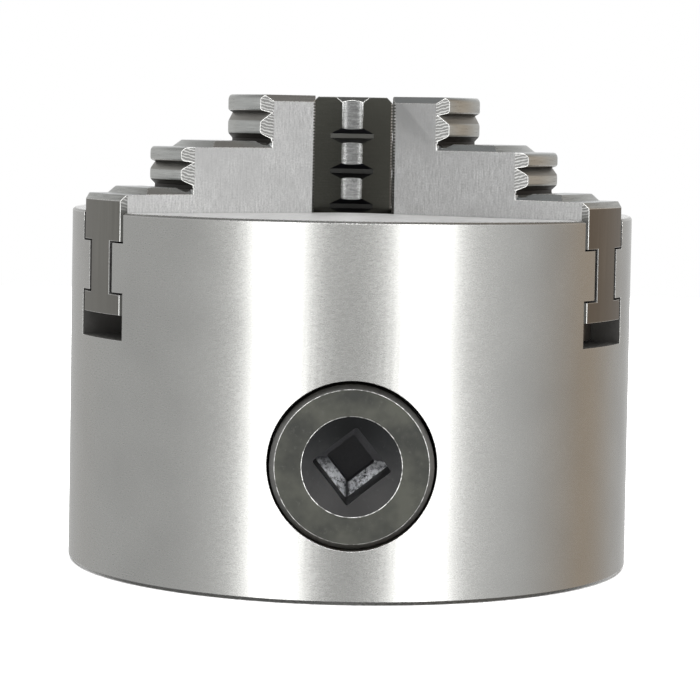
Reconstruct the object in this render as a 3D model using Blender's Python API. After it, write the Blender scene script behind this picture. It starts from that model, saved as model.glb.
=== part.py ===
"""Three-jaw self-centring lathe chuck, 80 mm across, as separate working pieces.

The chuck axis is Z. Z = 0 is the rear mounting face and the jaws point up. Turning any pinion turns the
scroll plate through its bevel gear, and the scroll's spiral thread slides the three jaws together.
All dimensions below are millimetres; the mesh helpers turn them into metres.
"""

import math

import bmesh
import bpy
from mathutils import Matrix, Vector

MM = 0.001

# Body
BODY_R = 40.0
BODY_H = 50.0
EDGE = 0.5
BORE_R = 8.0
HUB_R = 14.0
HUB_BOTTOM = 24.3
CAVITY_R = 25.9
CAVITY_TOP = 36.1
RECESS_R = 27.5
SEAT_Z = 6.7
JAW_ANGLES = (90, 210, 330)
PINION_ANGLES = (270, 30, 150)
FINE = 72
MEDIUM = 32
SMALL = 16
INNER = 48

# Tapped mounting holes in the rear face
MOUNT_PCD_R = 33.0
MOUNT_HOLE_R = 2.5
MOUNT_HOLE_DEPTH = 13.0

# Jaw guide, as half widths and heights
SLOT_HALF = 6.15
SLOT_NECK_HALF = 3.5
LIP_TOP = 45.9
LIP_BOTTOM = 39.15
SLOT_FLOOR = 32.75
JAW_HALF = 5.95
JAW_NECK_HALF = 2.75
HEAD_BOTTOM = 46.12
FOOT_TOP = 38.9
FOOT_BOTTOM = 36.12

# Jaw steps
JAW_TOP = 66.4
TREADS = (59.9, 53.4)
RISER_R = (18.5, 30.5)
LOWER_LAND_DROP = 0.95
SIDE_CHAMFER = 1.0
GROOVE_DEPTH = 1.2
TIP_S = 7.15
TIP_HALF = 1.5
TIP_ANGLE = math.radians(60)
TIP_NOTCH_TOPS = (61.9, 56.75, 51.6)
TIP_NOTCH_WIDTH = 2.4
TIP_NOTCH_FLOOR = 0.65
TIP_NOTCH_DEPTH = 1.0

# Scroll: spiral thread in front, bevel gear behind
PITCH = 5.0
THREAD_WIDTH = 2.3
THREAD_ROOT = 32.8
THREAD_CREST = 35.8
SPIRAL_START_R = 13.0
THREAD_INNER_R = 14.5
THREAD_OUTER_R = 25.5
SCROLL_R = 25.6
SCROLL_BORE_R = 14.3
SCROLL_RING_R = 18.3
SCROLL_BACK = 24.4
TOOTH_BOTTOM = 33.1
TOOTH_WIDTH = 2.3
SPIRAL_STEPS = 48

# Bevel gear pair: both cones meet on the chuck axis at the pinions' height
PINION_Z = 18.0
GEAR_TEETH = 36
PINION_TEETH = 12
GEAR_INNER_R = 18.0
GEAR_OUTER_R = 25.3
ADDENDUM = 0.8
DEDENDUM = 1.05

# Pinions
PINION_BORE_R = 11.15
PINION_R = 10.85
PINION_FACE_R = 38.9
PINION_SHOULDER = 26.5
PINION_CHAMFER = 0.8
PINION_GROOVE = (31.8, 35.2)
PINION_GROOVE_R = 9.0
PINION_GEAR_INNER = 18.9
NOSE_R = 4.2
NOSE_END = 13.6
SOCKET = 7.4
SOCKET_DEPTH = 8.3
SOCKET_TAPER = 0.9
PILOT = 4.6
PILOT_DEPTH = 12.0
SOCKET_TURN = math.radians(-6.4)
COUNTERSINK_R = 6.6

# Rear hub plate and its screws
PLATE_R = 27.2
PLATE_Z = (3.5, 6.4)
BOSS_R = 17.4
BOSS_TOP = 24.0
PLATE_SCREW_PCD_R = 11.2
PLATE_SCREW_COUNT = 6
CLEARANCE_R = 1.8
COUNTERBORE_R = 3.05
COUNTERBORE_TOP = 6.9

# Pins that keep the pinions in, each behind a grub screw
KEEPER_PCD_R = 33.5
PIN_Z = (4.6, 8.7)
GRUB_Z = (0.4, 4.3)

STEEL = ((0.56, 0.56, 0.54), 0.32)
HARD_STEEL = ((0.44, 0.44, 0.43), 0.36)
BLACKENED = ((0.09, 0.09, 0.085), 0.48)
SCREW_STEEL = ((0.06, 0.06, 0.065), 0.42)


def clear_scene():
    for obj in list(bpy.data.objects):
        bpy.data.objects.remove(obj, do_unlink=True)


def material(name, look):
    colour, roughness = look
    mat = bpy.data.materials.new(name)
    mat.use_nodes = True
    shader = mat.node_tree.nodes["Principled BSDF"]
    shader.inputs["Base Color"].default_value = (*colour, 1.0)
    shader.inputs["Roughness"].default_value = roughness
    shader.inputs["Metallic"].default_value = 1.0
    mat.diffuse_color = (*colour, 1.0)
    return mat


def mesh_object(name, points, faces):
    """A closed mesh from points in millimetres, with its normals turned outwards."""
    bm = bmesh.new()
    verts = [bm.verts.new(Vector(p) * MM) for p in points]
    for face in faces:
        bm.faces.new([verts[i] for i in face])
    bmesh.ops.recalc_face_normals(bm, faces=bm.faces)
    mesh = bpy.data.meshes.new(name)
    bm.to_mesh(mesh)
    bm.free()
    obj = bpy.data.objects.new(name, mesh)
    bpy.context.scene.collection.objects.link(obj)
    return obj


def loft(name, rings, closed=False):
    """Skins equal rings of points. The ends are capped unless the last ring joins the first."""
    size = len(rings[0])
    points = [p for ring in rings for p in ring]
    faces = []
    for i in range(len(rings) if closed else len(rings) - 1):
        a = i * size
        b = (i + 1) % len(rings) * size
        faces += [(a + j, a + (j + 1) % size, b + (j + 1) % size, b + j) for j in range(size)]
    if not closed:
        faces.append(tuple(range(size)))
        faces.append(tuple(range(len(points) - size, len(points))))
    return mesh_object(name, points, faces)


def around(profile, angle):
    """The (radius, height) profile stood up at an angle about Z."""
    c, s = math.cos(angle), math.sin(angle)
    return [(r * c, r * s, z) for r, z in profile]


def lathe(name, profile, segments):
    """A ring-shaped solid: the closed profile never touches the axis."""
    turns = [math.tau * i / segments for i in range(segments)]
    return loft(name, [around(profile, a) for a in turns], closed=True)


def sector(name, profile, half_angle, segments):
    """Part of a turned solid, centred on +X."""
    steps = [half_angle * (2 * i / segments - 1) for i in range(segments + 1)]
    return loft(name, [around(profile, a) for a in steps])


def rod(name, stations, segments):
    """A solid turned bar on Z: (height, radius) stations from one end to the other."""
    turns = [math.tau * i / segments for i in range(segments)]
    return loft(name, [[(r * math.cos(a), r * math.sin(a), z) for a in turns] for z, r in stations])


def prism(name, outline, low, high):
    return loft(name, [[(x, y, z) for x, y in outline] for z in (low, high)])


def bar_along_x(name, outline, start, end):
    """A (y, z) outline carried along X."""
    return loft(name, [[(x, y, z) for y, z in outline] for x in (start, end)])


def square(half, turn):
    corners = [turn + math.pi / 2 * i for i in range(4)]
    return [(half * math.sqrt(2) * math.cos(a), half * math.sqrt(2) * math.sin(a)) for a in corners]


def hexagon(across_flats):
    r = across_flats / math.sqrt(3)
    return [(r * math.cos(math.radians(a)), r * math.sin(math.radians(a))) for a in range(0, 360, 60)]


def move(obj, matrix):
    obj.data.transform(matrix)
    return obj


def shift(obj, x, y, z):
    return move(obj, Matrix.Translation(Vector((x, y, z)) * MM))


def turn(obj, degrees):
    return move(obj, Matrix.Rotation(math.radians(degrees), 4, "Z"))


def z_to_x(obj):
    """Lays a piece built on Z along +X, with its X pointing along Y and its Y pointing up."""
    return move(obj, Matrix(((0, 0, 1, 0), (1, 0, 0, 0), (0, 1, 0, 0), (0, 0, 0, 1))))


def at_polar(obj, radius, degrees):
    a = math.radians(degrees)
    return shift(obj, radius * math.cos(a), radius * math.sin(a), 0)


def combine(obj, others, operation):
    """Applies one exact Boolean for each of the other solids, which are then removed."""
    for other in others:
        other.hide_render = True
        other.display_type = "WIRE"
        mod = obj.modifiers.new(other.name, "BOOLEAN")
        mod.operation = operation
        mod.solver = "EXACT"
        mod.object = other
    graph = bpy.context.evaluated_depsgraph_get()
    mesh = bpy.data.meshes.new_from_object(obj.evaluated_get(graph))
    obj.modifiers.clear()
    obj.data = mesh
    for other in others:
        bpy.data.objects.remove(other, do_unlink=True)
    return obj


def finish(obj, mat, smooth_below=30):
    obj.data.name = obj.name
    obj.data.materials.clear()
    obj.data.materials.append(mat)
    obj.data.shade_smooth()
    obj.data.set_sharp_from_angle(angle=math.radians(smooth_below))
    return obj


def copies(obj, name, placements):
    """The object at the first (location, degrees) placement and copies that share its mesh at the rest."""
    made = []
    for i, (location, degrees) in enumerate(placements):
        copy = obj if i == 0 else bpy.data.objects.new(obj.name, obj.data)
        if i:
            bpy.context.scene.collection.objects.link(copy)
        copy.name = f"{name}_{i + 1}"
        copy.location = Vector(location) * MM
        copy.rotation_euler = (0, 0, math.radians(degrees))
        made.append(copy)
    return made


def polar(radius, degrees, z=0.0):
    a = math.radians(degrees)
    return (radius * math.cos(a), radius * math.sin(a), z)


def spiral_radius(angle):
    """Centre line of the scroll thread; the angle counts on past a full turn."""
    return SPIRAL_START_R + PITCH * angle / math.tau


def slot_outline():
    """The I-shaped opening of a jaw guide, as (width, height)."""
    above = BODY_H + 1
    half = [
        (SLOT_HALF, SLOT_FLOOR),
        (SLOT_HALF, LIP_BOTTOM),
        (SLOT_NECK_HALF, LIP_BOTTOM),
        (SLOT_NECK_HALF, LIP_TOP),
        (SLOT_HALF, LIP_TOP),
        (SLOT_HALF, above),
    ]
    return half + [(-y, z) for y, z in reversed(half)]


def chuck_body():
    body = lathe(
        "chuck_body",
        [
            (BODY_R, EDGE),
            (BODY_R, BODY_H - EDGE),
            (BODY_R - EDGE, BODY_H),
            (BORE_R + EDGE, BODY_H),
            (BORE_R, BODY_H - EDGE),
            (BORE_R, HUB_BOTTOM),
            (HUB_R, HUB_BOTTOM),
            (HUB_R, CAVITY_TOP),
            (CAVITY_R, CAVITY_TOP),
            (CAVITY_R, SEAT_Z),
            (RECESS_R, SEAT_Z),
            (RECESS_R, EDGE),
            (RECESS_R + EDGE, 0),
            (BODY_R - EDGE, 0),
        ],
        FINE,
    )
    cutters = []
    for angle in JAW_ANGLES:
        slot = bar_along_x("jaw_slot", slot_outline(), BORE_R / 8, BODY_R + 2)
        hole = rod("mount_hole", [(-1, MOUNT_HOLE_R), (MOUNT_HOLE_DEPTH, MOUNT_HOLE_R)], SMALL)
        cutters += [turn(slot, angle), at_polar(hole, MOUNT_PCD_R, angle)]
    for angle in PINION_ANGLES:
        bore = z_to_x(rod("pinion_bore", [(CAVITY_R - 4, PINION_BORE_R), (BODY_R + 2, PINION_BORE_R)], MEDIUM))
        shift(bore, 0, 0, PINION_Z)
        keeper = rod(
            "keeper_hole",
            [(-1, 2.3), (GRUB_Z[1] + 0.15, 2.3), (GRUB_Z[1] + 0.15, CLEARANCE_R), (PINION_Z - 9, CLEARANCE_R)],
            SMALL,
        )
        cutters += [turn(bore, angle), at_polar(keeper, KEEPER_PCD_R, angle)]
    for i in range(PLATE_SCREW_COUNT):
        hole = rod("hub_hole", [(HUB_BOTTOM - 1, CLEARANCE_R), (SLOT_FLOOR - 2, CLEARANCE_R)], SMALL)
        cutters.append(at_polar(hole, PLATE_SCREW_PCD_R, 30 + 60 * i))
    combine(body, cutters, "DIFFERENCE")
    return finish(body, material("body_steel", STEEL))


def hub_plate():
    """The rear plate: it holds the scroll up, carries the pinions' noses and closes the back."""
    low, high = PLATE_Z
    plate = lathe(
        "hub_plate",
        [
            (PLATE_R, low + EDGE / 2),
            (PLATE_R, high),
            (BOSS_R, high),
            (BOSS_R, BOSS_TOP),
            (BORE_R, BOSS_TOP),
            (BORE_R, low + EDGE),
            (BORE_R + EDGE, low),
            (PLATE_R - EDGE / 2, low),
        ],
        INNER,
    )
    cutters = []
    for angle in PINION_ANGLES:
        hole = z_to_x(rod("nose_hole", [(NOSE_END - 0.4, NOSE_R + 0.3), (BOSS_R + 1, NOSE_R + 0.3)], MEDIUM))
        cutters.append(turn(shift(hole, 0, 0, PINION_Z), angle))
    for i in range(PLATE_SCREW_COUNT):
        hole = rod(
            "screw_hole",
            [
                (low - 1, COUNTERBORE_R),
                (COUNTERBORE_TOP, COUNTERBORE_R),
                (COUNTERBORE_TOP, CLEARANCE_R),
                (BOSS_TOP + 1, CLEARANCE_R),
            ],
            SMALL,
        )
        cutters.append(at_polar(hole, PLATE_SCREW_PCD_R, 30 + 60 * i))
    combine(plate, cutters, "DIFFERENCE")
    return finish(plate, material("hub_plate_steel", HARD_STEEL))


def scroll_thread():
    """The spiral ridge: a square-section strip that stays inside the plate's face."""
    half = THREAD_WIDTH / 2
    first = (THREAD_INNER_R + half - SPIRAL_START_R) / PITCH * math.tau
    last = (THREAD_OUTER_R - half - SPIRAL_START_R) / PITCH * math.tau
    steps = round((last - first) / math.tau * SPIRAL_STEPS)
    rings = []
    for i in range(steps + 1):
        angle = first + (last - first) * i / steps
        r = spiral_radius(angle)
        section = [
            (r - half, THREAD_ROOT - 0.3),
            (r + half, THREAD_ROOT - 0.3),
            (r + half, THREAD_CREST),
            (r - half, THREAD_CREST),
        ]
        rings.append(around(section, angle))
    return loft("thread", rings)


def bevel_gear():
    """36 straight teeth whose faces all point at the apex on the chuck axis."""
    crest = PINION_TEETH / GEAR_TEETH - ADDENDUM * 2 / GEAR_TEETH
    root = PINION_TEETH / GEAR_TEETH + DEDENDUM * 2 / GEAR_TEETH
    step = math.tau / GEAR_TEETH
    crest_half = math.radians(1.18)
    root_half = math.radians(3.31)
    top = THREAD_ROOT - 2.8
    rings = []
    for i in range(GEAR_TEETH):
        middle = (i + 0.5) * step
        for offset, slope in ((-root_half, root), (-crest_half, crest), (crest_half, crest), (root_half, root)):
            section = [
                (GEAR_INNER_R, PINION_Z + GEAR_INNER_R * slope),
                (GEAR_OUTER_R, PINION_Z + GEAR_OUTER_R * slope),
                (GEAR_OUTER_R, top),
                (GEAR_INNER_R, top),
            ]
            rings.append(around(section, middle + offset))
    return loft("gear", rings, closed=True)


def scroll_plate():
    web = THREAD_ROOT - 3.3
    plate = lathe(
        "scroll_plate",
        [
            (SCROLL_R, web),
            (SCROLL_R, THREAD_ROOT),
            (SCROLL_BORE_R, THREAD_ROOT),
            (SCROLL_BORE_R, SCROLL_BACK),
            (SCROLL_RING_R, SCROLL_BACK),
            (SCROLL_RING_R, web),
        ],
        INNER,
    )
    combine(plate, [bevel_gear(), scroll_thread()], "UNION")
    return finish(plate, material("scroll_steel", HARD_STEEL))


def pinion_gear():
    """12 tapering teeth with involute-like flanks, on the pinion's own axis."""
    pitch = PINION_TEETH / GEAR_TEETH
    root = pitch - (DEDENDUM + 0.1) * 2 / GEAR_TEETH
    tip = pitch + ADDENDUM * 2 / GEAR_TEETH
    flank = ((root, 7.0), (pitch * 0.94, 6.8), (pitch, 6.0), (pitch * 1.07, 4.2), (tip, 2.25))
    tooth = [(r, -a) for r, a in flank] + [(r, a) for r, a in reversed(flank)]
    rings = []
    for x in (PINION_GEAR_INNER, PINION_SHOULDER + 0.3):
        ring = []
        for i in range(PINION_TEETH):
            for slope, degrees in tooth:
                a = math.radians(90 + 360 / PINION_TEETH * i + degrees)
                ring.append((x * slope * math.cos(a), x * slope * math.sin(a), x))
        rings.append(ring)
    return loft("pinion_gear", rings)


def pinions():
    groove_low, groove_high = PINION_GROOVE
    blank = rod(
        "pinion",
        [
            (PINION_SHOULDER, PINION_R),
            (groove_low, PINION_R),
            (groove_low, PINION_GROOVE_R),
            (groove_high, PINION_GROOVE_R),
            (groove_high, PINION_R),
            (PINION_FACE_R - PINION_CHAMFER, PINION_R),
            (PINION_FACE_R, PINION_R - PINION_CHAMFER),
        ],
        MEDIUM,
    )
    nose = rod("nose", [(NOSE_END, NOSE_R - EDGE), (NOSE_END + EDGE, NOSE_R), (PINION_GEAR_INNER + 1, NOSE_R)], SMALL)
    combine(blank, [pinion_gear(), nose], "UNION")
    socket_end = PINION_FACE_R - SOCKET_DEPTH
    stations = [
        (BODY_R, SOCKET),
        (socket_end, SOCKET),
        (socket_end - SOCKET_TAPER, PILOT),
        (PINION_FACE_R - PILOT_DEPTH, PILOT),
    ]
    upright = math.pi / 2 + SOCKET_TURN
    socket = loft("socket", [[(x, y, z) for x, y in square(width / 2, upright)] for z, width in stations])
    flare_depth = 1.0
    flare = rod(
        "countersink",
        [
            (PINION_FACE_R - flare_depth, SOCKET / 2 + 1.4),
            (PINION_FACE_R, COUNTERSINK_R),
            (PINION_FACE_R + flare_depth, COUNTERSINK_R + 1.2),
        ],
        MEDIUM,
    )
    combine(blank, [socket, flare], "DIFFERENCE")
    z_to_x(blank)
    finish(blank, material("pinion_black_steel", BLACKENED))
    return copies(blank, "pinion", [((0, 0, PINION_Z), a) for a in PINION_ANGLES])


def mirrored(half):
    return half + [(s, -t) for s, t in reversed(half)]


def jaw_plan():
    """The jaw seen along the chuck axis: wedge tip, straight sides and a round outer end."""
    wedge_s = TIP_S + (JAW_HALF - TIP_HALF) / math.tan(TIP_ANGLE)
    corner_t = JAW_HALF - 0.55
    corner_s = math.sqrt(BODY_R**2 - corner_t**2)
    end = [corner_t * (1 - i / 4) for i in range(5)]
    half = [(TIP_S, TIP_HALF), (wedge_s, JAW_HALF), (corner_s - 0.85, JAW_HALF)]
    half += [(math.sqrt(BODY_R**2 - t**2), t) for t in end[:-1]]
    outline = mirrored(half)
    outline.insert(len(half), (BODY_R, 0.0))
    return outline


def jaw_section():
    """The jaw seen from its outer end: head, neck and foot."""
    half = [
        (JAW_HALF, FOOT_BOTTOM),
        (JAW_HALF, FOOT_TOP),
        (JAW_NECK_HALF, FOOT_TOP),
        (JAW_NECK_HALF, HEAD_BOTTOM),
        (JAW_HALF, HEAD_BOTTOM),
        (JAW_HALF, JAW_TOP),
    ]
    return half + [(-y, z) for y, z in reversed(half)]


def riser(radius, top, tread, first_ridge):
    """One gripping step from its top edge to its tread: two ridges, a V groove and a root relief."""
    root = radius - GROOVE_DEPTH
    ridge_top, ridge_low, groove = first_ridge
    return [
        (radius - ridge_top, top),
        (radius, top - ridge_top),
        (radius, top - ridge_low),
        (root, top - groove),
        (radius, tread + 2.45),
        (radius, tread + 1.35),
        (root + 0.1, tread + 0.35),
        (root, tread - 0.2),
        (root + 0.5, tread - 0.5),
        (root + 1.1, tread - 0.5),
        (radius + 0.9, tread),
    ]


def step_profile():
    """Everything above the jaw's steps, as a (radius, height) outline."""
    over = JAW_TOP + 2
    upper, lower = TREADS
    low_upper = upper - LOWER_LAND_DROP
    low_lower = lower - LOWER_LAND_DROP
    line = riser(RISER_R[0], JAW_TOP, upper, (1.1, 2.1, 2.65))
    line[0:1] = [(RISER_R[0] - 3.1, over), (RISER_R[0] - 1.1, JAW_TOP)]
    line += [(25.1, upper), (26.2, low_upper)]
    line += riser(RISER_R[1], low_upper, lower, (0.45, 1.65, 2.05))
    line += [(35.65, lower), (36.5, low_lower), (BODY_R - 0.65, low_lower), (BODY_R + 0.55, low_lower - 1.5)]
    line += [(BODY_R + 3, low_lower - 1.5), (BODY_R + 3, over)]
    return line


def side_edge(s_start, s_end, top):
    """The 45 degree strip cut along both upper side edges of one tread."""
    cutters = []
    for side in (1, -1):
        outline = [
            (side * (JAW_HALF - SIDE_CHAMFER), top),
            (side * (JAW_HALF + 1), top - SIDE_CHAMFER - 1),
            (side * (JAW_HALF + 1), top + 1),
            (side * (JAW_HALF - SIDE_CHAMFER), top + 1),
        ]
        cutters.append(bar_along_x("side_edge", outline, s_start, s_end))
    return cutters


def riser_corner(radius, low, high):
    """The upright flats at both corners of a riser."""
    inner_t = JAW_HALF - 1.25
    outer_s = math.sqrt(radius**2 - inner_t**2)
    inner_s = outer_s - 1.5
    cutters = []
    for side in (1, -1):
        outline = [
            (inner_s, side * JAW_HALF),
            (outer_s + 1.5, side * (inner_t - 1.25)),
            (outer_s + 1.5, side * (JAW_HALF + 1)),
            (inner_s - 1.2, side * (JAW_HALF + 1)),
        ]
        cutters.append(prism("riser_corner", outline, low, high))
    return cutters


def tip_cuts():
    """The chamfer over the gripping land and the notches across it."""
    wide = JAW_HALF + 1
    cuts = [[(TIP_S - 1, JAW_TOP - 0.9 - 1.45), (TIP_S + 0.6 + 0.3, JAW_TOP + 0.44), (TIP_S - 1, JAW_TOP + 0.44)]]
    slope = (TIP_NOTCH_WIDTH - TIP_NOTCH_FLOOR) / 2
    for top in TIP_NOTCH_TOPS:
        low = top - TIP_NOTCH_WIDTH
        flare = slope / TIP_NOTCH_DEPTH
        cuts.append(
            [
                (TIP_S - 1, top + flare),
                (TIP_S + TIP_NOTCH_DEPTH, top - slope),
                (TIP_S + TIP_NOTCH_DEPTH, low + slope),
                (TIP_S - 1, low - flare),
            ]
        )
    return [loft("tip_cut", [[(s, t, z) for s, z in cut] for t in (-wide, wide)]) for cut in cuts]


def jaw_blank():
    """One jaw on +X without its scroll teeth."""
    jaw = bar_along_x("jaw", jaw_section(), 0, BODY_R + 1)
    combine(jaw, [prism("plan", jaw_plan(), FOOT_BOTTOM - 1, JAW_TOP + 1)], "INTERSECT")
    cutters = [sector("steps", step_profile(), math.radians(26), 8)]
    combine(jaw, cutters, "DIFFERENCE")
    upper, lower = TREADS
    relief = 0.5
    cutters = riser_corner(RISER_R[0], upper - relief, JAW_TOP + 1)
    cutters += riser_corner(RISER_R[1], lower - relief, upper - LOWER_LAND_DROP + 1)
    cutters += side_edge(TIP_S - 1, RISER_R[0] + 1.5, JAW_TOP)
    cutters += side_edge(RISER_R[0] - 2.0, RISER_R[1] - 4.0, upper)
    cutters += side_edge(RISER_R[1] - 1.7, BODY_R - 3.2, lower)
    cutters += tip_cuts()
    return combine(jaw, cutters, "DIFFERENCE")


def jaw_tooth(middle):
    """One scroll tooth. Its inner face is as flat as the largest thread turn and its outer face as round as
    the smallest, so it fits the groove at every opening; the slight lean follows the spiral."""
    lean = PITCH / math.tau / ((THREAD_INNER_R + THREAD_OUTER_R) / 2 - 1)
    flat_r = THREAD_OUTER_R + 0.5
    round_r = THREAD_INNER_R - 0.5
    across = [JAW_HALF * (i / 4 - 1) for i in range(9)]
    inner = [(middle - TOOTH_WIDTH / 2 - flat_r + math.sqrt(flat_r**2 - t**2) + lean * t, t) for t in across]
    outer = [(middle + TOOTH_WIDTH / 2 - round_r + math.sqrt(round_r**2 - t**2) + lean * t, t) for t in across]
    return prism("tooth", inner + outer[::-1], TOOTH_BOTTOM, FOOT_BOTTOM + 0.4)


def jaws():
    blank = jaw_blank()
    mat = material("jaw_hard_steel", HARD_STEEL)
    first_tooth, last_tooth = 11.6, 37.0
    made = []
    for number, degrees in enumerate(JAW_ANGLES, 1):
        jaw = bpy.data.objects.new(f"jaw_{number}", blank.data.copy())
        bpy.context.scene.collection.objects.link(jaw)
        gap = spiral_radius(math.radians(degrees)) + PITCH / 2
        gap -= PITCH * math.floor((gap - first_tooth) / PITCH)
        teeth = []
        while gap <= last_tooth:
            teeth.append(jaw_tooth(gap))
            gap += PITCH
        combine(jaw, teeth, "UNION")
        jaw.rotation_euler = (0, 0, math.radians(degrees))
        made.append(finish(jaw, mat))
    bpy.data.objects.remove(blank, do_unlink=True)
    return made


def plate_screws():
    low = PLATE_Z[0] + 0.2
    head_high = COUNTERBORE_TOP - 0.3
    head_r, shank_r = 2.75, 1.5
    screw = rod(
        "hub_plate_screw",
        [
            (low, head_r - 0.3),
            (low + 0.3, head_r),
            (head_high, head_r),
            (head_high, shank_r),
            (SLOT_FLOOR - 3, shank_r),
        ],
        SMALL,
    )
    combine(screw, [prism("hex", hexagon(2.5), low - 1, low + 1.5)], "DIFFERENCE")
    finish(screw, material("screw_black_steel", SCREW_STEEL))
    places = [(polar(PLATE_SCREW_PCD_R, 30 + 60 * i), 0) for i in range(PLATE_SCREW_COUNT)]
    return copies(screw, "hub_plate_screw", places)


def keepers():
    pin = rod(
        "pinion_pin",
        [(PIN_Z[0], 1.3), (PIN_Z[0] + 0.2, 1.5), (PIN_Z[1] - 0.2, 1.5), (PIN_Z[1], 1.3)],
        SMALL,
    )
    finish(pin, material("pin_steel", STEEL))
    pins = copies(pin, "pinion_pin", [(polar(KEEPER_PCD_R, a), 0) for a in PINION_ANGLES])
    grub = rod(
        "pinion_grub_screw",
        [(GRUB_Z[0], 1.8), (GRUB_Z[0] + 0.2, 2.0), (GRUB_Z[1] - 0.3, 2.0), (GRUB_Z[1], 1.7)],
        SMALL,
    )
    combine(grub, [prism("hex", hexagon(2.0), GRUB_Z[0] - 1, GRUB_Z[0] + 1.6)], "DIFFERENCE")
    finish(grub, material("grub_black_steel", SCREW_STEEL))
    grubs = copies(grub, "pinion_grub_screw", [(polar(KEEPER_PCD_R, a), 0) for a in PINION_ANGLES])
    return pins + grubs


clear_scene()
chuck_body()
hub_plate()
scroll_plate()
pinions()
jaws()
plate_screws()
keepers()
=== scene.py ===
"""Looks of the 80 mm three-jaw chuck: a bright turned body, ground jaws and blackened pinions.

The detailed pieces stand for the CAD nodes and ride on the same bodies. All dimensions below are
millimetres in the part's own frame (chuck axis Z, rear face at Z = 0, jaws up); the mesh helpers turn
them into metres.
"""

import math

import bmesh
import bpy
from mathutils import Matrix, Vector


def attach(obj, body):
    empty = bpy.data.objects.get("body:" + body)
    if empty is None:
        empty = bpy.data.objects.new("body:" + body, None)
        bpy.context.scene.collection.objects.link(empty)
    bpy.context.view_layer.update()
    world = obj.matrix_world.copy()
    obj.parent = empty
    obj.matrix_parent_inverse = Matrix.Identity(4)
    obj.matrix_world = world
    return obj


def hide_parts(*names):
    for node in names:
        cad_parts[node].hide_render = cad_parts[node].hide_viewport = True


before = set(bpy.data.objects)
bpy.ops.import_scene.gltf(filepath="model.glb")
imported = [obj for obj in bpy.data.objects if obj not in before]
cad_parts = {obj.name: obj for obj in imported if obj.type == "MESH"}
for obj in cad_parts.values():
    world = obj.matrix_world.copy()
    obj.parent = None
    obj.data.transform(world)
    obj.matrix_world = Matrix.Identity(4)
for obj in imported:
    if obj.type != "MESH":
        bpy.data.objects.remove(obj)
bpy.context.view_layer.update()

MM = 0.001

# Body
BODY_R = 40.0
BODY_H = 50.0
EDGE = 0.5
FACE_EDGE = 0.3
BORE_R = 8.0
HUB_R = 14.0
HUB_BOTTOM = 24.3
CAVITY_R = 25.9
CAVITY_TOP = 36.1
RECESS_R = 27.5
SEAT_Z = 6.7
JAW_ANGLES = (90, 210, 330)
PINION_ANGLES = (270, 30, 150)
MOUNT_PCD_R = 33.0
MOUNT_HOLE_R = 2.5
MOUNT_HOLE_DEPTH = 13.0
OVERCUT = 1.0  # how far a cutter runs past the surface it cuts
WORN_EDGE = 0.07

# Jaw guide, as half widths and heights
SLOT_HALF = 6.15
SLOT_NECK_HALF = 3.5
LIP_TOP = 45.9
LIP_BOTTOM = 39.15
SLOT_FLOOR = 32.75
JAW_HALF = 5.95
JAW_NECK_HALF = 2.75
HEAD_BOTTOM = 46.12
FOOT_TOP = 38.9
FOOT_BOTTOM = 36.12

# Jaw steps
JAW_TOP = 66.4
TREADS = (59.9, 53.4)
RISER_R = (18.5, 30.5)
LOWER_LAND_DROP = 0.95
SIDE_CHAMFER = 0.9
GROOVE_DEPTHS = (0.9, 1.1)
# The corners of each riser, as (drop below its top, rounding); the third is the bottom of the V groove
RISER_CORNERS = (
    ((0.02, 0.8), (2.15, 0.3), (2.55, 0), (3.8, 0.7), (5.4, 0.7)),
    ((0, 0.8), (1.85, 0.4), (2.1, 0), (3.1, 0.6), (4.5, 0.6)),
)
TREAD_SLOPES = ((25.6, 26.7), (35.65, 36.5))
SLOPE_ROUNDING = 0.3
END_BEVEL = 1.5
END_CORNER = 0.55
END_CORNER_DEPTH = 0.85
END_STEPS = 11
CORNER_RISE = 0.05
TIP_S = 7.15
TIP_HALF = 1.5
TIP_ANGLE = math.radians(60)
TIP_NOTCH_TOPS = (61.9, 56.75, 51.6)
TIP_NOTCH_WIDTH = 2.4
TIP_NOTCH_FLOOR = 0.65
TIP_NOTCH_DEPTH = 1.0
TIP_GRIND_R = 6.2
TIP_GRIND_SINK = 0.27
MILL_PITCH = 0.43
MILL_DEPTH = 0.04
WEDGE_FLAT = ((0.36, 0), (-0.18, 0.31))  # the flat's two ends, as (along, in from the side)

# Scroll teeth under the jaws
PITCH = 5.0
SPIRAL_START_R = 13.0
THREAD_INNER_R = 14.5
THREAD_OUTER_R = 25.5
TOOTH_BOTTOM = 33.1
TOOTH_WIDTH = 2.3
FIRST_TOOTH, LAST_TOOTH = 11.6, 37.0

# Pinions
PINION_Z = 18.0
PINION_BORE_R = 11.12
PINION_SAG = 0.2
PINION_R = 10.78
PINION_FACE_R = 39.1
PINION_SHOULDER = 26.5
PINION_CHAMFER = 0.65
PINION_WORN_EDGE = 0.05
PINION_GROOVE = (31.8, 35.2)
PINION_GROOVE_R = 9.0
PINION_GEAR_INNER = 18.9
PINION_TEETH = 12
GEAR_TEETH = 36
ADDENDUM = 0.8
DEDENDUM = 1.05
NOSE_R = 4.2
NOSE_END = 13.6
NOSE_GAP = 0.3
NOSE_END_GAP = 0.4
SOCKET = 7.4
SOCKET_DEPTH = 8.3
SOCKET_TAPER = 0.9
PILOT = 4.6
PILOT_DEPTH = 12.0
SOCKET_TURN = math.radians(-6.4)
SOCKET_CORNER_Y = 0.45
SOCKET_ROUNDING = 0.3
COUNTERSINK_R = 6.6
COUNTERSINK_DEPTH = 1.4

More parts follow.
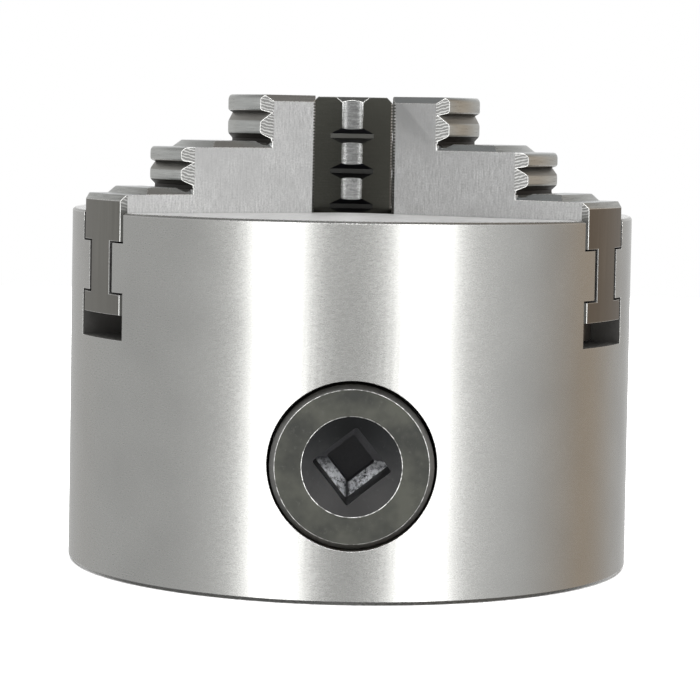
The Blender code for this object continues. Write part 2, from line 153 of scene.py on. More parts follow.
# Rear hub plate and its screws
PLATE_R = 27.2
PLATE_Z = (3.5, 6.4)
BOSS_R = 17.4
BOSS_TOP = 24.0
PLATE_SCREW_PCD_R = 11.2
PLATE_SCREW_ANGLES = range(30, 360, 60)
PLATE_WORN_EDGE = 0.08
CLEARANCE_R = 1.8
COUNTERBORE_R = 3.05
COUNTERBORE_TOP = 6.9
KEEPER_PCD_R = 33.5
GRUB_Z = (0.4, 4.3)
GRUB_HOLE_R = 2.3
GRUB_END_GAP = 0.15

FINE = 252
MEDIUM = 128
SMALL = 32


# Meshes


def mesh_object(name, points, faces):
    """A closed mesh from points in millimetres, with its normals turned outwards."""
    bm = bmesh.new()
    verts = [bm.verts.new(Vector(p) * MM) for p in points]
    for face in faces:
        bm.faces.new([verts[i] for i in face])
    bmesh.ops.recalc_face_normals(bm, faces=bm.faces)
    if bm.calc_volume(signed=True) < 0:
        bmesh.ops.reverse_faces(bm, faces=bm.faces)
    mesh = bpy.data.meshes.new(name)
    bm.to_mesh(mesh)
    bm.free()
    obj = bpy.data.objects.new(name, mesh)
    bpy.context.scene.collection.objects.link(obj)
    return obj


def loft(name, rings, closed=False):
    """Skins equal rings of points. The ends are capped unless the last ring joins the first."""
    size = len(rings[0])
    points = [p for ring in rings for p in ring]
    faces = []
    for i in range(len(rings) if closed else len(rings) - 1):
        a = i * size
        b = (i + 1) % len(rings) * size
        faces += [(a + j, a + (j + 1) % size, b + (j + 1) % size, b + j) for j in range(size)]
    if not closed:
        faces.append(tuple(range(size)))
        faces.append(tuple(range(len(points) - size, len(points))))
    return mesh_object(name, points, faces)


def around(profile, angle):
    """The (radius, height) profile stood up at an angle about Z."""
    c, s = math.cos(angle), math.sin(angle)
    return [(r * c, r * s, z) for r, z in profile]


def lathe(name, profile, segments):
    """A ring-shaped solid: the closed profile never touches the axis."""
    turns = [math.tau * i / segments for i in range(segments)]
    return loft(name, [around(profile, a) for a in turns], closed=True)


def sector(name, profile, half_angle, segments):
    """Part of a turned solid, centred on +X."""
    steps = [half_angle * (2 * i / segments - 1) for i in range(segments + 1)]
    return loft(name, [around(profile, a) for a in steps])


def rod(name, stations, segments):
    """A solid turned bar on Z: (height, radius) stations from one end to the other."""
    turns = [math.tau * i / segments for i in range(segments)]
    return loft(name, [[(r * math.cos(a), r * math.sin(a), z) for a in turns] for z, r in stations])


def prism(name, outline, low, high):
    return loft(name, [[(x, y, z) for x, y in outline] for z in (low, high)])


def bar_along_x(name, outline, start, end):
    """A (y, z) outline carried along X."""
    return loft(name, [[(x, y, z) for y, z in outline] for x in (start, end)])


def rounded_square(half, radius, turn, steps=6):
    """A square outline with rounded corners, its corners turned from the X axis."""
    points = []
    for corner in range(4):
        middle = turn + math.pi / 2 * corner
        centre = (half - radius) * math.sqrt(2)
        for i in range(steps + 1):
            a = middle + math.pi / 2 * (i / steps - 0.5)
            points.append(
                (
                    centre * math.cos(middle) + radius * math.cos(a),
                    centre * math.sin(middle) + radius * math.sin(a),
                )
            )
    return points


def rounded(corners):
    """An outline from (x, y, radius) corners; radius 0 leaves a corner sharp."""
    line = []
    for i, (x, y, radius) in enumerate(corners):
        here = Vector((x, y))
        if not radius:
            line.append((x, y))
            continue
        before = (Vector(corners[i - 1][:2]) - here).normalized()
        after = (Vector(corners[(i + 1) % len(corners)][:2]) - here).normalized()
        half = before.angle(after) / 2
        steps = 5 if radius > 0.4 else 2
        centre = here + (before + after).normalized() * (radius / math.sin(half))
        start = here + before * (radius / math.tan(half)) - centre
        end = here + after * (radius / math.tan(half)) - centre
        line += [tuple(centre + start.slerp(end, k / steps) * radius) for k in range(steps + 1)]
    return line


def move(obj, matrix):
    obj.data.transform(matrix)
    return obj


def shift(obj, x, y, z):
    return move(obj, Matrix.Translation(Vector((x, y, z)) * MM))


def turn(obj, degrees):
    return move(obj, Matrix.Rotation(math.radians(degrees), 4, "Z"))


def z_to_x(obj):
    """Lays a piece built on Z along +X, with its X pointing along Y and its Y pointing up."""
    return move(obj, Matrix(((0, 0, 1, 0), (1, 0, 0, 0), (0, 1, 0, 0), (0, 0, 0, 1))))


def at_polar(obj, radius, degrees):
    a = math.radians(degrees)
    return shift(obj, radius * math.cos(a), radius * math.sin(a), 0)


def evaluated_mesh(obj):
    graph = bpy.context.evaluated_depsgraph_get()
    return bpy.data.meshes.new_from_object(
        obj.evaluated_get(graph), preserve_all_data_layers=True, depsgraph=graph
    )


def combine(obj, others, operation):
    """Exact Booleans with the other solids, which are then removed. Cut faces keep the cutter's material."""
    for other in others:
        other.hide_render = True
        mod = obj.modifiers.new(other.name, "BOOLEAN")
        mod.operation = operation
        mod.solver = "EXACT"
        mod.material_mode = "TRANSFER"
        mod.object = other
    mesh = evaluated_mesh(obj)
    obj.modifiers.clear()
    obj.data = mesh
    for other in others:
        bpy.data.objects.remove(other, do_unlink=True)
    return obj


def paint(obj, mat, where=None):
    """Gives a solid one finish, or one more for the faces whose centre (mm) and normal pass a test."""
    mesh = obj.data
    if mat.name not in mesh.materials:
        mesh.materials.append(mat)
    index = mesh.materials.find(mat.name)
    for face in mesh.polygons:
        if where is None or where(face.center / MM, face.normal):
            face.material_index = index
    return obj


def soften(obj, width, edge_mat, sharper_than=28, plain=(), where=None):
    """Rounds every sharp edge by a small width in a finish of its own, and shades the result smooth.
    Edges inside one plain group of finishes, or whose middle (mm) fails the test, are left as they are."""
    mesh = obj.data
    if edge_mat.name not in mesh.materials:
        mesh.materials.append(edge_mat)
    groups = [{mesh.materials.find(mat.name) for mat in group} for group in plain]
    bm = bmesh.new()
    bm.from_mesh(mesh)
    bmesh.ops.remove_doubles(bm, verts=bm.verts, dist=0.004 * MM)
    bmesh.ops.dissolve_degenerate(bm, edges=bm.edges, dist=0.004 * MM)
    limit = math.radians(sharper_than)
    edges = []
    for edge in bm.edges:
        if len(edge.link_faces) != 2 or edge.calc_face_angle(0) < limit:
            continue
        sides = {face.material_index for face in edge.link_faces}
        if any(sides <= group for group in groups):
            continue
        if where is not None and not where((edge.verts[0].co + edge.verts[1].co) / 2 / MM):
            continue
        edges.append(edge)
    bmesh.ops.bevel(
        bm,
        geom=edges,
        offset=width * MM,
        offset_type="OFFSET",
        segments=2,
        profile=0.5,
        affect="EDGES",
        clamp_overlap=False,
        material=mesh.materials.find(edge_mat.name),
    )
    bm.to_mesh(mesh)
    bm.free()
    return smooth(obj)


def smooth(obj):
    obj.data.shade_smooth()
    obj.data.set_sharp_from_angle(angle=math.radians(24))
    mod = obj.modifiers.new("flat_faces", "WEIGHTED_NORMAL")
    mod.keep_sharp = True
    mod.weight = 100
    mesh = evaluated_mesh(obj)
    obj.modifiers.clear()
    obj.data = mesh
    obj.data.name = obj.name
    return obj


# Finishes


class Finish:
    """A metal's node tree. Every texture reads the piece's own coordinates, in millimetres."""

    def __init__(self, name, roughness, metallic=1.0):
        self.mat = bpy.data.materials.new(name)
        self.mat.use_nodes = True
        self.nodes = self.mat.node_tree.nodes
        self.links = self.mat.node_tree.links
        self.shader = self.nodes["Principled BSDF"]
        self.shader.inputs["Metallic"].default_value = metallic
        self.shader.inputs["Roughness"].default_value = roughness
        coordinates = self.nodes.new("ShaderNodeTexCoord").outputs["Object"]
        self.place = self.vector("SCALE", coordinates, scale=1 / MM)
        apart = self.nodes.new("ShaderNodeSeparateXYZ")
        self.put(apart.inputs[0], self.place)
        self.x, self.y, self.z = apart.outputs

    def put(self, socket, value):
        if isinstance(value, bpy.types.NodeSocket):
            self.links.new(value, socket)
        else:
            socket.default_value = value

    def math(self, operation, *values, clamp=False):
        node = self.nodes.new("ShaderNodeMath")
        node.operation = operation
        node.use_clamp = clamp
        for socket, value in zip(node.inputs, values):
            self.put(socket, value)
        return node.outputs[0]

    def vector(self, operation, *values, scale=None):
        node = self.nodes.new("ShaderNodeVectorMath")
        node.operation = operation
        for socket, value in zip(node.inputs, values):
            self.put(socket, value)
        if scale is not None:
            self.put(node.inputs["Scale"], scale)
        return node.outputs[0]

    def join(self, x, y, z):
        node = self.nodes.new("ShaderNodeCombineXYZ")
        for socket, value in zip(node.inputs, (x, y, z)):
            self.put(socket, value)
        return node.outputs[0]

    def noise(self, where, scale=1.0, detail=3.0, roughness=0.55):
        node = self.nodes.new("ShaderNodeTexNoise")
        values = {"Vector": where, "Scale": scale, "Detail": detail, "Roughness": roughness}
        for name, value in values.items():
            self.put(node.inputs[name], value)
        return node.outputs[0]

    def range(self, value, low, high, to_low=0.0, to_high=1.0):
        node = self.nodes.new("ShaderNodeMapRange")
        for name, number in (("Value", value), ("From Min", low), ("From Max", high)):
            self.put(node.inputs[name], number)
        self.put(node.inputs["To Min"], to_low)
        self.put(node.inputs["To Max"], to_high)
        return node.outputs[0]

    def mix(self, factor, a, b):
        node = self.nodes.new("ShaderNodeMix")
        node.data_type = "RGBA"
        for socket, value in ((node.inputs[0], factor), (node.inputs[6], a), (node.inputs[7], b)):
            if isinstance(value, tuple):
                value = (*value, 1.0)
            self.put(socket, value)
        return node.outputs[2]

    def radius(self):
        squares = [self.math("MULTIPLY", side, side) for side in (self.x, self.y)]
        return self.math("SQRT", self.math("ADD", *squares))

    def turned(self, along, across, radius):
        """Grain that runs round the Z axis, on flat and on round faces alike."""
        r = self.radius()
        c = self.math("MULTIPLY", self.math("DIVIDE", self.x, r), radius * along)
        s = self.math("MULTIPLY", self.math("DIVIDE", self.y, r), radius * along)
        return self.join(c, s, self.math("MULTIPLY", self.math("ADD", self.z, r), across))

    def straight(self, x, y, z):
        """Grain as cycles per millimetre along each axis."""
        return self.vector("MULTIPLY", self.place, (x, y, z))

    def bump(self, height, depth_mm):
        node = self.nodes.new("ShaderNodeBump")
        node.inputs["Strength"].default_value = 1.0
        node.inputs["Distance"].default_value = depth_mm * MM
        self.put(node.inputs["Height"], height)
        self.put(self.shader.inputs["Normal"], node.outputs[0])

    def steel(
        self, colour, grain, contrast=0.12, depth=0.004, speckle=6.0, speckle_share=0.5, stain=0.08
    ):
        """Streaks along the grain, fine speckle, and broad faint stains, in colour, roughness and height."""
        streaks = self.noise(grain, 1.0, 4.0, 0.65)
        dots = self.noise(self.place, speckle, 2.0, 0.6)
        shares = ((streaks, 1 - speckle_share), (dots, speckle_share))
        pattern = self.math("ADD", *[self.math("MULTIPLY", noise, share) for noise, share in shares])
        cloud = self.noise(self.place, 0.09, 2.0, 0.5)
        dark = tuple(c * (1 - contrast) for c in colour)
        light = tuple(min(1.0, c * (1 + contrast)) for c in colour)
        streaked = self.mix(self.range(pattern, 0.35, 0.65), dark, light)
        tint = tuple(c * (1.0 - stain) for c in colour)
        self.put(self.shader.inputs["Base Color"], self.mix(self.range(cloud, 0.42, 0.75), streaked, tint))
        base = self.shader.inputs["Roughness"].default_value
        self.put(self.shader.inputs["Roughness"], self.range(streaks, 0.25, 0.75, base * 0.85, base * 1.15))
        self.bump(pattern, depth)
        return self.mat


def body_finish():
    f = Finish("body_bright_steel", 0.27)
    grain = f.turned(1.2, 4.0, BODY_R)
    return f.steel((0.62, 0.62, 0.6), grain, contrast=0.04, depth=0.0035, speckle=4.5, speckle_share=0.7)


def face_finish():
    f = Finish("body_faced_steel", 0.45, metallic=0.88)
    grain = f.turned(0.2, 1.3, BODY_R)
    return f.steel((0.94, 0.94, 0.93), grain, contrast=0.28, depth=0.05, speckle=2.0, speckle_share=0.25)


def slot_shade_finish():
    # Near-black for the jaw slots and the holes in the body: painted shade.
    f = Finish("guide_painted_shade", 0.5, metallic=0.3)
    return f.steel((0.075, 0.073, 0.07), f.straight(1.0, 1.0, 3.0), depth=0.004)


def bore_finish():
    f = Finish("pinion_bore_steel", 0.4)
    return f.steel((0.3, 0.28, 0.25), f.straight(2.0, 2.0, 2.0), depth=0.004)


def side_finish(name, level):
    f = Finish(name, 0.36)
    colour = (level, level, level * 0.993)
    grain = f.straight(4.2, 4.2, 0.6)
    return f.steel(colour, grain, contrast=0.26, depth=0.014, speckle=4.2, speckle_share=0.42, stain=0.18)


def ridge_finish():
    f = Finish("jaw_ridge", 0.3)
    grain = f.straight(0.25, 0.25, 4.5)
    return f.steel((0.69, 0.705, 0.685), grain, contrast=0.24, depth=0.006, speckle_share=0.25)


def end_finish(name, colour):
    f = Finish(name, 0.36)
    return f.steel(colour, f.straight(0.5, 0.5, 0.03), contrast=0.14, depth=0.002, speckle_share=0.15)


def chamfer_finish():
    f = Finish("jaw_chamfer", 0.34)
    return f.steel((0.6, 0.62, 0.62), f.straight(0.12, 5.0, 5.0), contrast=0.18, depth=0.004)


def groove_finish(name, colour):
    f = Finish(name, 0.45)
    return f.steel(colour, f.straight(0.3, 0.3, 7.0), contrast=0.2, depth=0.003)


def wedge_finish():
    f = Finish("jaw_milled_wedge", 0.45)
    return f.steel((0.11, 0.11, 0.095), f.straight(0.3, 0.3, 5.0), contrast=0.15, depth=0.003)


def land_finish():
    f = Finish("jaw_grip_land", 0.19)
    grain = f.straight(0.4, 0.4, 3.0)
    return f.steel((0.46, 0.465, 0.46), grain, contrast=0.4, depth=0.01, speckle=4.0, speckle_share=0.3)


def hatch_finish():
    """Milling strokes that drop towards the jaw's side, painted dark below the body's top face at the outer
    end: painted shade inside the slot.
    """
    f = Finish("jaw_milled_corner", 0.4)
    lean = f.math("MULTIPLY", f.math("ABSOLUTE", f.y), 0.4)
    wobble = f.math("MULTIPLY", f.noise(f.place, 1.6, 3.0), 0.5)
    phase = f.math("MULTIPLY", f.math("ADD", f.math("ADD", f.z, lean), wobble), math.tau / MILL_PITCH)
    wave = f.math("ADD", f.math("MULTIPLY", f.math("SINE", phase), 0.5), 0.5)
    strokes = f.mix(f.range(wave, 0.4, 1.0), (0.17, 0.17, 0.165), (0.42, 0.42, 0.41))
    # Zero only below the body's top face at the outer end, where the colour is painted dark: painted shade.
    milled = f.math("MAXIMUM", f.range(f.z, 50.0, 51.5), f.range(f.x, RISER_R[1] + 3, RISER_R[1] + 2))
    f.put(f.shader.inputs["Base Color"], f.mix(milled, (0.08, 0.08, 0.075), strokes))
    f.bump(f.math("MULTIPLY", wave, milled), 0.01)
    return f.mat


def tick_finish():
    """The ends of the wedge's milling lines, stronger towards the top."""
    f = Finish("jaw_milled_tick", 0.4)
    wobble = f.math("MULTIPLY", f.noise(f.place, 0.9, 2.0), 1.5)
    wave = f.math("SINE", f.math("ADD", f.math("MULTIPLY", f.z, math.tau / MILL_PITCH), wobble))
    uneven = f.range(f.noise(f.place, 0.5, 2.0), 0.35, 0.6, 0.3, 1.0)
    strength = f.math("MULTIPLY", f.range(f.z, 52, 63, 0.1, 1.0), uneven)
    bright = f.math("MULTIPLY", f.range(wave, -0.3, 0.5), strength)
    gap = f.mix(strength, (0.13, 0.13, 0.12), (0.2, 0.2, 0.19))
    f.put(f.shader.inputs["Base Color"], f.mix(bright, gap, (0.85, 0.85, 0.83)))
    return f.mat


def notch_finish():
    """Dark machined steel, a little lighter towards the top."""
    f = Finish("jaw_notch", 0.4)
    tone = f.mix(f.range(f.z, 55.5, 59.5), (0.06, 0.06, 0.058), (0.14, 0.14, 0.13))
    f.put(f.shader.inputs["Base Color"], tone)
    return f.mat


def worn_finish(name, colour, roughness):
    f = Finish(name, roughness)
    return f.steel(colour, f.straight(2.0, 2.0, 2.0), contrast=0.12, depth=0.002)


def black_finish(name, colour, roughness, metallic=1.0):
    f = Finish(name, roughness, metallic)
    return f.steel(colour, f.straight(1.5, 1.5, 1.5), contrast=0.12, depth=0.003, speckle=4.0, stain=0.12)


def pinion_finish():
    """Blackened steel, cloudy and finely marked."""
    f = Finish("pinion_black", 0.42)
    cloud = f.range(f.noise(f.place, 0.16, 3.0, 0.6), 0.36, 0.62)
    tone = f.mix(cloud, (0.076, 0.078, 0.072), (0.13, 0.132, 0.114))
    marks = f.range(f.noise(f.place, 1.4, 6.0, 0.85), 0.56, 0.7, 0.0, 0.6)
    f.put(f.shader.inputs["Base Color"], f.mix(marks, tone, (0.17, 0.17, 0.155)))
    f.bump(f.noise(f.place, 4.0, 3.0), 0.004)
    return f.mat


def recess_finish():
    """Black, darker towards the top and darkest above the socket."""
    f = Finish("pinion_recess_black", 0.5)
    height_noise = f.math("MULTIPLY", f.noise(f.place, 0.4, 3.0, 0.6), 7.0)
    height = f.math("ADD", f.z, height_noise)
    tone = f.mix(f.range(height, PINION_Z - 1, PINION_Z + 7), (0.062, 0.061, 0.061), (0.036, 0.037, 0.038))
    marks = f.range(f.noise(f.place, 0.9, 6.0, 0.85), 0.57, 0.72, 0.0, 0.5)
    f.put(f.shader.inputs["Base Color"], f.mix(marks, tone, (0.1, 0.1, 0.1)))
    return f.mat


def rubbed_finish():
    """Blackened edges rubbed bright here and there."""
    f = Finish("rubbed_edge", 0.32)
    wear = f.range(f.noise(f.place, 1.1, 3.0, 0.7), 0.4, 0.55)
    f.put(f.shader.inputs["Base Color"], f.mix(wear, (0.2, 0.2, 0.19), (0.85, 0.85, 0.83)))
    f.bump(wear, 0.004)
    return f.mat


def broached_and_lit_finish():
    """Bare steel where the broach cut, painted bright on the low ledges where light from above falls (painted
    light), fading to black in the lowest corner and up the socket's sides (painted shade).
    """
    f = Finish("socket_bare_and_lit_steel", 0.36, metallic=0.3)
    patches = f.range(f.noise(f.place, 1.8, 4.0, 0.75), 0.36, 0.54)
    # Bright only low down and black higher up the walls: painted light and painted shade.
    sides = f.range(f.math("ADD", f.z, f.noise(f.place, 1.2, 2.0)), PINION_Z + 0.8, PINION_Z - 1.8)
    # Black in the lowest corner: painted shade.
    corner = f.range(f.math("ABSOLUTE", f.math("ADD", f.y, SOCKET_CORNER_Y)), 0.1, 0.45)
    bare_and_lit = f.math("MULTIPLY", patches, f.math("MULTIPLY", sides, corner))
    f.put(f.shader.inputs["Base Color"], f.mix(bare_and_lit, (0.03, 0.031, 0.035), (0.95, 0.97, 1.0)))
    f.bump(f.noise(f.place, 3.0, 3.0), 0.06)
    return f.mat


# Pieces


def slot_outline():
    """The I-shaped opening of a jaw guide, as (width, height)."""
    above = BODY_H + OVERCUT
    half = [
        (SLOT_HALF, SLOT_FLOOR),
        (SLOT_HALF, LIP_BOTTOM),
        (SLOT_NECK_HALF, LIP_BOTTOM),
        (SLOT_NECK_HALF, LIP_TOP),
        (SLOT_HALF, LIP_TOP),
        (SLOT_HALF, above),
    ]
    return half + [(-y, z) for y, z in reversed(half)]


def chuck_body(steel, face_steel, dark, bore_steel, worn):
    body = lathe(
        "chuck_body_turned",
        [
            (BODY_R, EDGE),
            (BODY_R, BODY_H - FACE_EDGE),
            (BODY_R - FACE_EDGE, BODY_H),
            (BORE_R + EDGE, BODY_H),
            (BORE_R, BODY_H - EDGE),
            (BORE_R, HUB_BOTTOM),
            (HUB_R, HUB_BOTTOM),
            (HUB_R, CAVITY_TOP),
            (CAVITY_R, CAVITY_TOP),
            (CAVITY_R, SEAT_Z),
            (RECESS_R, SEAT_Z),
            (RECESS_R, EDGE),
            (RECESS_R + EDGE, 0),
            (BODY_R - EDGE, 0),
        ],
        FINE,
    )
    paint(body, steel)
    paint(body, face_steel, lambda c, n: c.z > BODY_H - 0.1)
    cutters = []
    for angle in JAW_ANGLES:
        # The slots and holes take the near-black finish: painted shade.
        slot = paint(bar_along_x("jaw_slot", slot_outline(), OVERCUT, BODY_R + 2 * OVERCUT), dark)
        hole = rod("mount_hole", [(-OVERCUT, MOUNT_HOLE_R), (MOUNT_HOLE_DEPTH, MOUNT_HOLE_R)], SMALL)
        cutters += [turn(slot, angle), at_polar(paint(hole, dark), MOUNT_PCD_R, angle)]
    for angle in PINION_ANGLES:
        ends = (CAVITY_R - 4 * OVERCUT, BODY_R + 2 * OVERCUT)
        bore = z_to_x(rod("pinion_bore", [(x, PINION_BORE_R) for x in ends], MEDIUM))
        shift(paint(bore, bore_steel), 0, 0, PINION_Z + PINION_SAG)
        shelf = GRUB_Z[1] + GRUB_END_GAP
        keeper = rod(
            "keeper_hole",
            [
                (-OVERCUT, GRUB_HOLE_R),
                (shelf, GRUB_HOLE_R),
                (shelf, CLEARANCE_R),
                (PINION_Z - PINION_GROOVE_R, CLEARANCE_R),
            ],
            SMALL,
        )
        cutters += [turn(bore, angle), at_polar(paint(keeper, dark), KEEPER_PCD_R, angle)]
    for angle in PLATE_SCREW_ANGLES:
        hole = rod("hub_hole", [(HUB_BOTTOM - OVERCUT, CLEARANCE_R), (SLOT_FLOOR - 2, CLEARANCE_R)], SMALL)
        cutters.append(at_polar(paint(hole, dark), PLATE_SCREW_PCD_R, angle))
    combine(body, cutters, "DIFFERENCE")
    return soften(
        body, WORN_EDGE, worn, where=lambda c: c.xy.length > BODY_R - 2 or not 1 <= c.z <= BODY_H - 1
    )


def hub_plate(steel, worn):
    low, high = PLATE_Z
    plate = lathe(
        "hub_plate_turned",
        [
            (PLATE_R, low + EDGE / 2),
            (PLATE_R, high),
            (BOSS_R, high),
            (BOSS_R, BOSS_TOP),
            (BORE_R, BOSS_TOP),
            (BORE_R, low + EDGE),
            (BORE_R + EDGE, low),
            (PLATE_R - EDGE / 2, low),
        ],
        MEDIUM,
    )
    paint(plate, steel)
    cutters = []
    for angle in PINION_ANGLES:
        ends = (NOSE_END - NOSE_END_GAP, BOSS_R + OVERCUT)
        hole = z_to_x(rod("nose_hole", [(x, NOSE_R + NOSE_GAP) for x in ends], SMALL))
        cutters.append(turn(shift(paint(hole, steel), 0, 0, PINION_Z), angle))
    for angle in PLATE_SCREW_ANGLES:
        hole = rod(
            "screw_hole",
            [
                (low - OVERCUT, COUNTERBORE_R),
                (COUNTERBORE_TOP, COUNTERBORE_R),
                (COUNTERBORE_TOP, CLEARANCE_R),
                (BOSS_TOP + OVERCUT, CLEARANCE_R),
            ],
            SMALL,
        )
        cutters.append(at_polar(paint(hole, steel), PLATE_SCREW_PCD_R, angle))
    combine(plate, cutters, "DIFFERENCE")
    return soften(plate, PLATE_WORN_EDGE, worn)


def pinion_gear():
    """12 tapering teeth with involute-like flanks, on the pinion's own axis."""
    pitch = PINION_TEETH / GEAR_TEETH
    root = pitch - (DEDENDUM + 0.1) * 2 / GEAR_TEETH
    tip = pitch + ADDENDUM * 2 / GEAR_TEETH
    flank = ((root, 7.0), (pitch * 0.94, 6.8), (pitch, 6.0), (pitch * 1.07, 4.2), (tip, 2.25))
    tooth = [(r, -a) for r, a in flank] + [(r, a) for r, a in reversed(flank)]
    rings = []
    for x in (PINION_GEAR_INNER, PINION_SHOULDER + 0.3):
        ring = []
        for i in range(PINION_TEETH):
            for slope, degrees in tooth:
                a = math.radians(90 + 360 / PINION_TEETH * i + degrees)
                ring.append((x * slope * math.cos(a), x * slope * math.sin(a), x))
        rings.append(ring)
    return loft("pinion_gear", rings)


def pinion(black, rim, dark, painted_shade, bare_and_lit, worn):
    """One pinion on +X at its own height: round face, countersunk square socket, groove, gear and nose."""
    groove_low, groove_high = PINION_GROOVE
    blank = rod(
        "pinion",
        [
            (PINION_SHOULDER, PINION_R),
            (groove_low, PINION_R),
            (groove_low, PINION_GROOVE_R),
            (groove_high, PINION_GROOVE_R),
            (groove_high, PINION_R),
            (PINION_FACE_R - PINION_CHAMFER, PINION_R),
            (PINION_FACE_R, PINION_R - PINION_CHAMFER),
        ],
        MEDIUM,
    )
    paint(blank, black)
    paint(blank, rim, lambda c, n: c.z > PINION_FACE_R - PINION_CHAMFER and n.z < 0.95)
    nose_line = [(NOSE_END, NOSE_R - EDGE), (NOSE_END + EDGE, NOSE_R), (PINION_GEAR_INNER + 1, NOSE_R)]
    nose = rod("nose", nose_line, SMALL)
    combine(blank, [paint(pinion_gear(), black), paint(nose, black)], "UNION")
    upright = math.pi / 2 + SOCKET_TURN
    socket_end = PINION_FACE_R - SOCKET_DEPTH
    stations = [
        (BODY_R, SOCKET / 2),
        (socket_end, SOCKET / 2),
        (socket_end - SOCKET_TAPER, PILOT / 2),
        (PINION_FACE_R - PILOT_DEPTH, PILOT / 2),
    ]
    rings = [
        [(x, y, z) for x, y in rounded_square(half, SOCKET_ROUNDING, upright)] for z, half in stations
    ]
    socket = paint(loft("socket", rings), dark)
    # The pilot hole and the socket's upper walls take a matt black finish: painted shade.
    paint(socket, painted_shade, lambda c, n: c.z < socket_end - SOCKET_TAPER or c.y > 0.2)
    # The tapered ledge on the lower walls takes the bright bare steel: painted light.
    paint(socket, bare_and_lit, lambda c, n: socket_end - SOCKET_TAPER < c.z < socket_end and c.y < 0)
    flare_slope = (COUNTERSINK_R - SOCKET / 2 + 0.2) / COUNTERSINK_DEPTH
    flare = rod(
        "countersink",
        [
            (PINION_FACE_R - COUNTERSINK_DEPTH, COUNTERSINK_R - flare_slope * COUNTERSINK_DEPTH),
            (PINION_FACE_R, COUNTERSINK_R),
            (PINION_FACE_R + 0.5, COUNTERSINK_R + flare_slope * 0.5),
        ],
        MEDIUM,
    )
    combine(blank, [socket, paint(flare, dark)], "DIFFERENCE")
    z_to_x(blank)
    shift(blank, 0, 0, PINION_Z)
    plain = ((dark, bare_and_lit), (dark, painted_shade), (painted_shade, bare_and_lit))
    return soften(blank, PINION_WORN_EDGE, worn, sharper_than=20, plain=plain)


def mirrored(half):
    return half + [(s, -t) for s, t in reversed(half)]


def jaw_plan():
    """The jaw seen along the chuck axis: wedge tip, straight sides and a round outer end."""
    wedge_s = TIP_S + (JAW_HALF - TIP_HALF) / math.tan(TIP_ANGLE)
    corner_t = JAW_HALF - END_CORNER
    corner_s = math.sqrt(BODY_R**2 - corner_t**2)
    end = [corner_t * (1 - i / END_STEPS) for i in range(END_STEPS + 1)]
    half = [(TIP_S, TIP_HALF), (wedge_s, JAW_HALF), (corner_s - END_CORNER_DEPTH, JAW_HALF)]
    half += [(math.sqrt(BODY_R**2 - t**2), t) for t in end[:-1]]
    outline = mirrored(half)
    outline.insert(len(half), (BODY_R, 0.0))
    return outline


def jaw_section():
    """The jaw seen from its outer end: head, neck and foot."""
    half = [
        (JAW_HALF, FOOT_BOTTOM),
        (JAW_HALF, FOOT_TOP),
        (JAW_NECK_HALF, FOOT_TOP),
        (JAW_NECK_HALF, HEAD_BOTTOM),
        (JAW_HALF, HEAD_BOTTOM),
        (JAW_HALF, JAW_TOP),
    ]
    return half + [(-y, z) for y, z in reversed(half)]


def riser(step, top, tread):
    """One riser from its top edge to its tread: two rounded ridges, a V groove and a relief at the foot."""
    radius, root = RISER_R[step], RISER_R[step] - GROOVE_DEPTHS[step]
    line = [
        (root if i == 2 else radius, top - drop, rounding)
        for i, (drop, rounding) in enumerate(RISER_CORNERS[step])
    ]
    return line + [
        (root, tread + 0.35, 0),
        (root, tread - 0.2, 0),
        (root + 0.5, tread - 0.5, 0),
        (root + 1.1, tread - 0.5, 0),
        (radius + 0.9, tread, 0),
    ]


def step_profile():
    """Everything above the jaw's steps, as a (radius, height) outline."""
    over = JAW_TOP + 2
    inner = RISER_R[0] - 1.0
    upper, lower = TREADS
    low_upper = upper - LOWER_LAND_DROP
    low_lower = lower - LOWER_LAND_DROP
    corners = [(inner, over, 0), (inner, JAW_TOP + 0.03, 0)]
    corners += riser(0, JAW_TOP, upper)
    corners += [(r, z, SLOPE_ROUNDING) for r, z in zip(TREAD_SLOPES[0], (upper, low_upper))]
    corners += riser(1, low_upper, lower)
    corners += [(r, z, SLOPE_ROUNDING) for r, z in zip(TREAD_SLOPES[1], (lower, low_lower))]
    corners += [
        (BODY_R - 0.65, low_lower, 0.15),
        (BODY_R + 0.55, low_lower - END_BEVEL, 0),
        (BODY_R + 3, low_lower - END_BEVEL, 0),
        (BODY_R + 3, over, 0),
    ]
    return rounded(corners)


def side_edge(foot, s_end, top):
    """The 45 degree strip cut along both upper side edges of one tread, from the riser's foot outwards."""
    cutters = []
    for side in (1, -1):
        inside, outside = side * (JAW_HALF - SIDE_CHAMFER), side * (JAW_HALF + OVERCUT)
        over = top + 0.3
        outline = [(inside, top), (outside, top - SIDE_CHAMFER - OVERCUT), (outside, over), (inside, over)]
        start = [(math.sqrt(foot**2 - t**2) if foot else TIP_S - 1, t, z) for t, z in outline]
        cutters.append(loft("side_edge", [start, [(s_end, t, z) for t, z in outline]]))
    return cutters


def riser_corner(radius, low, high):
    """The upright flats at both corners of a riser."""
    inner_t = JAW_HALF - 1.25
    outer_s = math.sqrt(radius**2 - inner_t**2)
    inner_s = outer_s - 1.5
    cutters = []
    for side in (1, -1):
        outline = [
            (inner_s, side * JAW_HALF),
            (outer_s + 1.5, side * (inner_t - 1.25)),
            (outer_s + 1.5, side * (JAW_HALF + 1)),
            (inner_s - 1.2, side * (JAW_HALF + 1)),
        ]
        cutters.append(prism("riser_corner", outline, low, high))
    return cutters


